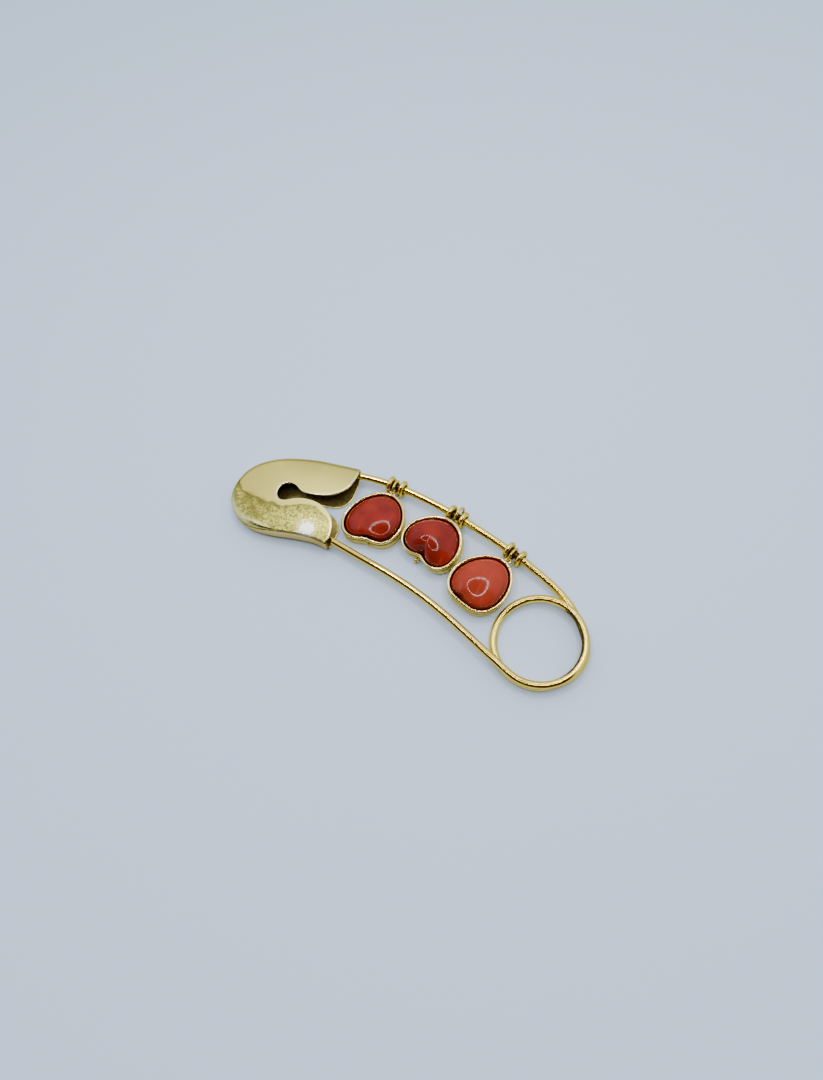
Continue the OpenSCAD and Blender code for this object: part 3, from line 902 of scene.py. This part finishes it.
def new_group(name, inputs, outputs):
    """An empty node group. Inputs and outputs are (name, kind, value) and (name, kind)."""
    group = bpy.data.node_groups.new(name, "ShaderNodeTree")
    for key, kind, value in inputs:
        socket = group.interface.new_socket(name=key, in_out="INPUT", socket_type="NodeSocket" + kind)
        socket.default_value = value
    for key, kind in outputs:
        group.interface.new_socket(name=key, in_out="OUTPUT", socket_type="NodeSocket" + kind)
    return group, group.nodes.new("NodeGroupInput"), group.nodes.new("NodeGroupOutput")


def use_group(tree, name, inputs):
    """Places a node group in a tree and returns its outputs."""
    item = tree.nodes.new("ShaderNodeGroup")
    item.node_tree = bpy.data.node_groups[name]
    for key, value in inputs.items():
        feed(tree, item.inputs[key], value)
    return item.outputs


def attribute(tree, name):
    """The value that a piece's points carry under this name."""
    return add(tree, "Attribute", attribute_name=name).outputs["Fac"]


def coordinates(tree):
    """The object's own coordinates, in metres."""
    return add(tree, "TexCoord").outputs["Object"]


def step_up(tree, value, low, high, bottom=0.0, top=1.0):
    """A smooth rise from bottom to top while the value goes from low to high."""
    return add(tree, "MapRange", {"Value": value, "From Min": low, "From Max": high, "To Min": bottom,
                                  "To Max": top}, interpolation_type="SMOOTHSTEP").outputs["Result"]


def maths(tree, operation, a, b):
    """One Math node's value."""
    return add(tree, "Math", {0: a, 1: b}, operation=operation).outputs[0]


def times(tree, value, *others):
    """Product of the values."""
    for other in others:
        value = maths(tree, "MULTIPLY", value, other)
    return value


def rest(tree, value):
    """1 minus the value."""
    return maths(tree, "SUBTRACT", 1, value)


def swing(tree, value, size):
    """The value less 0.5, times the size."""
    return times(tree, maths(tree, "SUBTRACT", value, 0.5), size)


def blend_colour(tree, share, a, b):
    """Colour a, going over to colour b by the share."""
    item = add(tree, "Mix", {0: share}, data_type="RGBA")
    for socket, value in ((item.inputs[6], a), (item.inputs[7], b)):
        feed(tree, socket, value if isinstance(value, bpy.types.NodeSocket) else (*value, 1))
    return item.outputs[2]


def roughen(tree, shader, height, strength, distance):
    """Gives the shader's surface a fine relief of this height."""
    bump = add(tree, "Bump", {"Height": height, "Strength": strength, "Distance": distance})
    feed(tree, shader.inputs["Normal"], bump.outputs["Normal"])


def make_groups():
    """Effects that several finishes share: fine scratches, soft patches, and painted shade in hollows."""
    tree, given, out = new_group(
        "Fine scratches", [("Fineness", "Float", 1500.0)], [("Scratches", "Float")])
    coords = coordinates(tree)
    lines = []
    for turn in (0.5, 2.1):
        turned = add(tree, "Mapping", {"Vector": coords, "Rotation": (0, 0, turn), "Scale": (1, 9, 4)})
        noise = add(tree, "TexNoise", {"Vector": turned.outputs[0], "Scale": given.outputs["Fineness"],
                                       "Detail": 3.0})
        lines.append(step_up(tree, noise.outputs["Fac"], 0.56, 0.7))
    feed(tree, out.inputs["Scratches"], maths(tree, "MAXIMUM", *lines))

    tree, given, out = new_group(
        "Soft patches", [("Size", "Float", 400.0), ("Sharpness", "Float", 0.2)], [("Patches", "Float")])
    noise = add(tree, "TexNoise", {"Vector": coordinates(tree), "Scale": given.outputs["Size"],
                                   "Detail": 4.0})
    low = maths(tree, "SUBTRACT", 0.5, given.outputs["Sharpness"])
    high = maths(tree, "ADD", 0.5, given.outputs["Sharpness"])
    feed(tree, out.inputs["Patches"], step_up(tree, noise.outputs["Fac"], low, high))

    # Painted shade: darkens a colour by the amount, with a fine grain
    tree, given, out = new_group(
        "Painted shade", [("Colour", "Color", (0.8, 0.6, 0.2, 1)), ("Dark", "Color", (0.1, 0.05, 0.02, 1)),
                    ("Amount", "Float", 0.0)], [("Colour", "Color"), ("Mask", "Float")])
    amount = given.outputs["Amount"]
    noise = add(tree, "TexNoise", {"Vector": coordinates(tree), "Scale": 1800.0, "Detail": 3.0})
    grain = swing(tree, noise.outputs["Fac"], 0.9)
    mask = times(tree, step_up(tree, maths(tree, "ADD", amount, grain), 0.25, 0.85),
                 step_up(tree, amount, 0.0, 0.2))
    feed(tree, out.inputs["Mask"], mask)
    feed(tree, out.inputs["Colour"],
         blend_colour(tree, mask, given.outputs["Colour"], given.outputs["Dark"]))


class BROOCH_OT_finishes(bpy.types.Operator):
    """Make the materials: two polished golds, the cap's gold with its painted light, and two corals"""

    bl_idname = "brooch.finishes"
    bl_label = "Finishes"

    def execute(self, context):
        finish = context.scene.brooch_finish
        make_groups()
        polished_gold("Polished gold", finish, finish.gold)
        polished_gold("Bezel gold", finish, finish.bezel_gold)
        worn_gold_with_painted_light(finish)
        coral("Red coral", finish.coral, 0.55)
        coral("Orange coral", finish.coral_orange, 0.75)
        return {"FINISHED"}


def polished_gold(name, finish, colour):
    """Mirror gold with faint scratches, and painted shade where a piece's mark for it is high."""
    tree, shader = new_material(name, inputs={
        "Metallic": 1, "Specular Tint": (*tint(finish.edge_gold, 0.92), 1)})
    scratches = use_group(tree, "Fine scratches", {"Fineness": 1300.0})[0]
    patches = use_group(tree, "Soft patches", {"Size": 500.0, "Sharpness": 0.25})[0]
    gold = blend_colour(tree, patches, colour, tint(colour, 0.96, 0.9, 0.7))
    tarnish = use_group(tree, "Painted shade", {"Colour": gold, "Dark": (*finish.tarnish, 1),
                                          "Amount": attribute(tree, "tarnish")})
    rough = maths(tree, "ADD", step_up(tree, scratches, 0, 1, 0.04, 0.09),
                  times(tree, tarnish["Mask"], 0.3))
    feed(tree, shader.inputs["Base Color"], tarnish["Colour"])
    feed(tree, shader.inputs["Roughness"], rough)
    roughen(tree, shader, scratches, 0.05, 0.00001)


def worn_gold_with_painted_light(finish):
    """The cap's gold: satin on its upper part, with painted shade towards the top and the left, and below
    the wear line blotched and scratched, with a dark painted reflection along the line. The lips of the
    openings, a band along the lower left and a spot on the lower lobe are painted highlights, and the
    inside is dull and, like the seam, gets painted shade."""
    tree, shader = new_material("Worn gold", inputs={
        "Metallic": 1, "Specular Tint": (*finish.edge_gold, 1)})
    scratches = use_group(tree, "Fine scratches", {"Fineness": 1500.0})[0]
    blotches = use_group(tree, "Soft patches", {"Size": 1700.0, "Sharpness": 0.08})[0]
    broad = use_group(tree, "Soft patches", {"Size": 260.0, "Sharpness": 0.2})[0]
    wear_and_reflection, rim, strip, inside, seam, highlight_spot, stain, fold = (
        attribute(tree, key)
        for key in ("wear_and_reflection", "rim", "strip", "inside", "seam", "highlight_spot", "stain", "fold"))
    x = add(tree, "SeparateXYZ", {"Vector": coordinates(tree)}).outputs["X"]

    # The part below the wear line has a ragged edge; the dark band along it, fainter to the right, is a
    # painted reflection
    ragged = maths(tree, "ADD", wear_and_reflection, swing(tree, broad, 1.0))
    below = times(tree, step_up(tree, ragged, -0.1, 0.5), rest(tree, rim), rest(tree, strip))
    band = times(tree, step_up(tree, ragged, -0.2, 0.3), step_up(tree, ragged, 0.3, 1.3, 1, 0),
                 rest(tree, rim), step_up(tree, x, -0.028, -0.022, 1, 0.4))

    # Painted shade: the upper part is darker towards the top and the left
    light, dark = tint(finish.leaf, 1.25), tint(finish.leaf, 0.2, 0.2, 0.16)
    left = step_up(tree, x, -0.037, -0.019, 1, 0)
    shade = maths(tree, "MAXIMUM", step_up(tree, wear_and_reflection, -13.5, -2.0, 1, 0), times(tree, left, 0.75))
    upper = blend_colour(tree, shade, light, tint(finish.leaf, 0.6))

    # The part below the wear line has dark blotches, fewer to the right, and light scratches
    blotted = times(tree, blotches, step_up(tree, broad, 0, 1, 0.65, 0.95),
                    step_up(tree, x, -0.031, -0.018, 1, 0.8))
    mottled = blend_colour(tree, blotted, tint(finish.leaf, 0.62, 0.68, 0.56), dark)
    mottled = blend_colour(tree, times(tree, scratches, 0.5), mottled, light)

    colour = blend_colour(tree, below, upper, mottled)
    # Painted highlight on the spot of the lower lobe, with a ragged edge
    glint = step_up(tree, maths(tree, "ADD", highlight_spot, swing(tree, blotches, 0.28)), 0.1, 0.95)
    # Over the colour go: a dark painted reflection band, dull spots, a painted highlight band along the
    # lower left, the strip's colour, painted highlights on the lips and the spot, and painted shade
    # inside
    for share, tone in (
            (times(tree, band, 0.8), dark), (times(tree, stain, 0.8), dark), (fold, FOLD_HIGHLIGHT_COLOUR),
            (strip, STRIP_COLOUR), (times(tree, rim, 0.55), LIP_HIGHLIGHT_COLOUR), (glint, HIGHLIGHT_SPOT_COLOUR),
            (inside, tint(finish.leaf, 0.45, 0.42, 0.46))):
        colour = blend_colour(tree, share, colour, tone)
    # Painted shade on the inside and in the seam's groove
    dull = maths(tree, "MAXIMUM", times(tree, inside, 0.42), times(tree, seam, 2.5))
    tarnish = use_group(
        tree, "Painted shade", {"Colour": colour, "Dark": (*finish.tarnish, 1), "Amount": dull})
    rough = maths(tree, "ADD", step_up(tree, below, 0, 1, 0.22, 0.2), times(tree, scratches, below, 0.15))
    rough = maths(tree, "ADD", rough, times(tree, inside, 0.25))
    feed(tree, shader.inputs["Base Color"], tarnish["Colour"])
    feed(tree, shader.inputs["Roughness"], rough)
    relief = times(tree, maths(tree, "ADD", scratches, blotches), below)
    roughen(tree, shader, relief, 0.3, 0.00002)


def coral(name, colour, depth):
    """Polished coral: soft light and deep patches, faint streaks, a few pits, and painted shade at its
    edge and in the valley under the cleft."""
    tree, shader = new_material(name, inputs={"Specular IOR Level": 0.18})
    patches = use_group(tree, "Soft patches", {"Size": 260.0, "Sharpness": 0.25})[0]
    coords = coordinates(tree)
    turned = add(tree, "Mapping", {"Vector": coords, "Rotation": (0, 0, 0.5), "Scale": (9, 1, 3)})
    streaks = add(tree, "TexNoise", {"Vector": turned.outputs[0], "Scale": 130.0, "Detail": 3.0})
    streak = step_up(tree, streaks.outputs["Fac"], 0.58, 0.72)
    cells = add(tree, "TexVoronoi", {"Vector": coords, "Scale": 260.0})
    pits = step_up(tree, cells.outputs["Distance"], 0.03, 0.06, 1, 0)
    # Painted shade at the edge and in the valley, together with the coral's own dark pits
    foot = maths(tree, "MAXIMUM", attribute(tree, "edge"), times(tree, attribute(tree, "valley"), 0.8))
    foot = maths(tree, "MAXIMUM", foot, times(tree, pits, 0.7))
    pale = tuple(min(1, c * 1.15 + 0.02) for c in colour)
    base = blend_colour(tree, patches, tint(colour, depth), colour)
    base = blend_colour(tree, times(tree, streak, 0.5), base, pale)
    base = blend_colour(tree, foot, base, tint(colour, 0.2))
    feed(tree, shader.inputs["Base Color"], base)
    feed(tree, shader.inputs["Roughness"], step_up(tree, patches, 0, 1, 0.08, 0.13))
    roughen(tree, shader, patches, 0.1, 0.00003)


# Stage

# The camera's place in millimetres, and the directions to the picture's right, down and ahead
CAMERA_PLACE = np.array([37.86, -47.93, 127.0])
CAMERA_RIGHT = np.array([0.8784, 0.4711, -0.0801])
CAMERA_DOWN = np.array([0.3911, -0.8052, -0.4458])
CAMERA_AHEAD = np.array([-0.2745, 0.3602, -0.8916])
# The light tent has a dark opening in this direction, and its edge lies between these two cosines
OPENING_WAY = np.array([0.3, -0.8, 0.55])
OPENING_EDGE = (0.44, 0.62)
# The tent's colour, and its colour where the camera sees it
TENT_COLOUR = np.array([0.88, 0.94, 1.0])
BACKDROP = np.array([0.54, 0.57, 0.6])
# The tent's brightness near the table, as a share of that overhead, and the height where it is full
TENT_FOOT = 0.3
TENT_FULL = 0.55
# The ring lamp, in millimetres: its middle, its radii, and the radius of the dark disc inside it
LAMP_PLACE = (0, 15, 300)
LAMP_RADII = (99, 108)
LAMP_BODY = 88
LAMP_SIDES = 96
TABLE_REACH = 1200


class BroochStage(bpy.types.PropertyGroup):
    """Camera and light"""

    focal_length: FloatProperty(
        name="Focal length", description="Focal length of the camera in millimetres, on a 36 mm film",
        default=24.67)
    ring_power: FloatProperty(
        name="Ring lamp", description="Brightness of the ring lamp", default=45)
    tent: FloatProperty(
        name="Light tent", description="Brightness of the light tent", default=1.58)
    opening: FloatVectorProperty(
        name="Opening", description="Light from the tent's opening", default=(0.09, 0.05, 0.03),
        subtype="COLOR", size=3, min=0, max=1)
    table: FloatVectorProperty(
        name="Table", description="Colour of the table", default=(0.62, 0.76, 1.0), subtype="COLOR",
        size=3, min=0, max=1)


def stage_mesh(name, points, faces, material):
    """A mesh that isn't part of the object."""
    mesh = bpy.data.meshes.new(name)
    mesh.from_pydata((np.asarray(points) * MM).tolist(), [], faces)
    mesh.materials.append(bpy.data.materials[material])
    item = bpy.data.objects.new(name, mesh)
    bpy.context.scene.collection.objects.link(item)
    return item


def light_tent(stage):
    """A world that is bright overhead and dimmer near the table, with a dark opening on one side."""
    world = bpy.data.worlds.new("Light tent")
    world.use_nodes = True
    tree = world.node_tree
    way = add(tree, "TexCoord").outputs["Generated"]
    towards = add(tree, "VectorMath", {0: way, 1: unit(OPENING_WAY)}, operation="DOT_PRODUCT")
    dark = step_up(tree, towards.outputs["Value"], *OPENING_EDGE)
    height = add(tree, "SeparateXYZ", {"Vector": way}).outputs["Z"]
    overhead = stage.tent * TENT_COLOUR
    colour = blend_colour(tree, step_up(tree, height, 0, TENT_FULL), TENT_FOOT * overhead, overhead)
    colour = blend_colour(tree, dark, colour, stage.opening)
    seen = add(tree, "LightPath").outputs["Is Camera Ray"]
    colour = blend_colour(tree, seen, colour, stage.tent * BACKDROP)
    feed(tree, tree.nodes["Background"].inputs["Color"], colour)
    return world


def ring_lamp(stage):
    """A glowing ring overhead with a dark disc inside it. The camera doesn't see them."""
    new_material("Lamp glow", "Emission", {"Strength": stage.ring_power})
    new_material("Lamp body", inputs={"Base Color": (0.01, 0.01, 0.01, 1)})
    a = turns(LAMP_SIDES)[:, None]
    rim = np.concatenate([np.cos(a), np.sin(a), 0 * a], axis=1)
    ring = stage_mesh("ring_lamp", np.concatenate([LAMP_PLACE + r * rim for r in LAMP_RADII]),
                      tube_faces(2, LAMP_SIDES).tolist(), "Lamp glow")
    body = stage_mesh("lamp_body", LAMP_PLACE + LAMP_BODY * rim, [list(range(LAMP_SIDES))], "Lamp body")
    for item in (ring, body):
        item.visible_camera = False


class BROOCH_OT_stage(bpy.types.Operator):
    """Set the table, the lights and the camera"""

    bl_idname = "brooch.stage"
    bl_label = "Stage"

    def execute(self, context):
        stage = context.scene.brooch_stage
        new_material("Pale table", inputs={"Base Color": (*stage.table, 1), "Roughness": 0.7})
        corners = TABLE_REACH * np.array([(-1, -1, 0), (1, -1, 0), (1, 1, 0), (-1, 1, 0)])
        stage_mesh("table", corners, [(0, 1, 2, 3)], "Pale table")
        ring_lamp(stage)
        context.scene.world = light_tent(stage)

        data = bpy.data.cameras.new("camera")
        data.lens = stage.focal_length
        data.sensor_width = 36
        data.clip_start, data.clip_end = 0.005, 10
        camera = bpy.data.objects.new("camera", data)
        matrix = np.eye(4)
        matrix[:3] = np.stack([CAMERA_RIGHT, -CAMERA_DOWN, -CAMERA_AHEAD, CAMERA_PLACE * MM], -1)
        camera.matrix_world = Matrix(matrix.tolist())
        context.scene.collection.objects.link(camera)
        context.scene.camera = camera
        return {"FINISHED"}


# Panel and registration


class BROOCH_PT_panel(bpy.types.Panel):
    """Sizes, finishes and building steps of the brooch"""

    bl_label = "Coral brooch"
    bl_space_type = "VIEW_3D"
    bl_region_type = "UI"
    bl_category = "Brooch"

    def draw(self, context):
        layout = self.layout
        for key in PROPERTIES:
            group = getattr(context.scene, key)
            box = layout.box()
            for name in group.bl_rna.properties.keys():
                if name not in ("rna_type", "name"):
                    box.prop(group, name)
        for operator in OPERATORS:
            layout.operator(operator.bl_idname)


OPERATORS = (BROOCH_OT_finishes, BROOCH_OT_wire, BROOCH_OT_cap, BROOCH_OT_settings, BROOCH_OT_stones,
             BROOCH_OT_rings, BROOCH_OT_stage)
PROPERTIES = {
    "brooch_wire": BroochWire, "brooch_cap": BroochCap, "brooch_hearts": BroochHearts,
    "brooch_rings": BroochRings, "brooch_finish": BroochFinish, "brooch_stage": BroochStage}


def register():
    """Registers the classes and puts the property groups on the scene."""
    for cls in (*PROPERTIES.values(), *OPERATORS, BROOCH_PT_panel):
        bpy.utils.register_class(cls)
    for key, cls in PROPERTIES.items():
        setattr(bpy.types.Scene, key, PointerProperty(type=cls))


def unregister():
    """Undoes register()."""
    for key in PROPERTIES:
        delattr(bpy.types.Scene, key)
    for cls in reversed((*PROPERTIES.values(), *OPERATORS, BROOCH_PT_panel)):
        bpy.utils.unregister_class(cls)


def main():
    """Builds every piece in order."""
    register()
    bpy.ops.brooch.finishes()
    bpy.ops.brooch.wire()
    bpy.ops.brooch.cap()
    bpy.ops.brooch.settings()
    bpy.ops.brooch.stones()
    bpy.ops.brooch.rings()
    bpy.ops.brooch.stage()


if __name__ == "__main__":
    main()
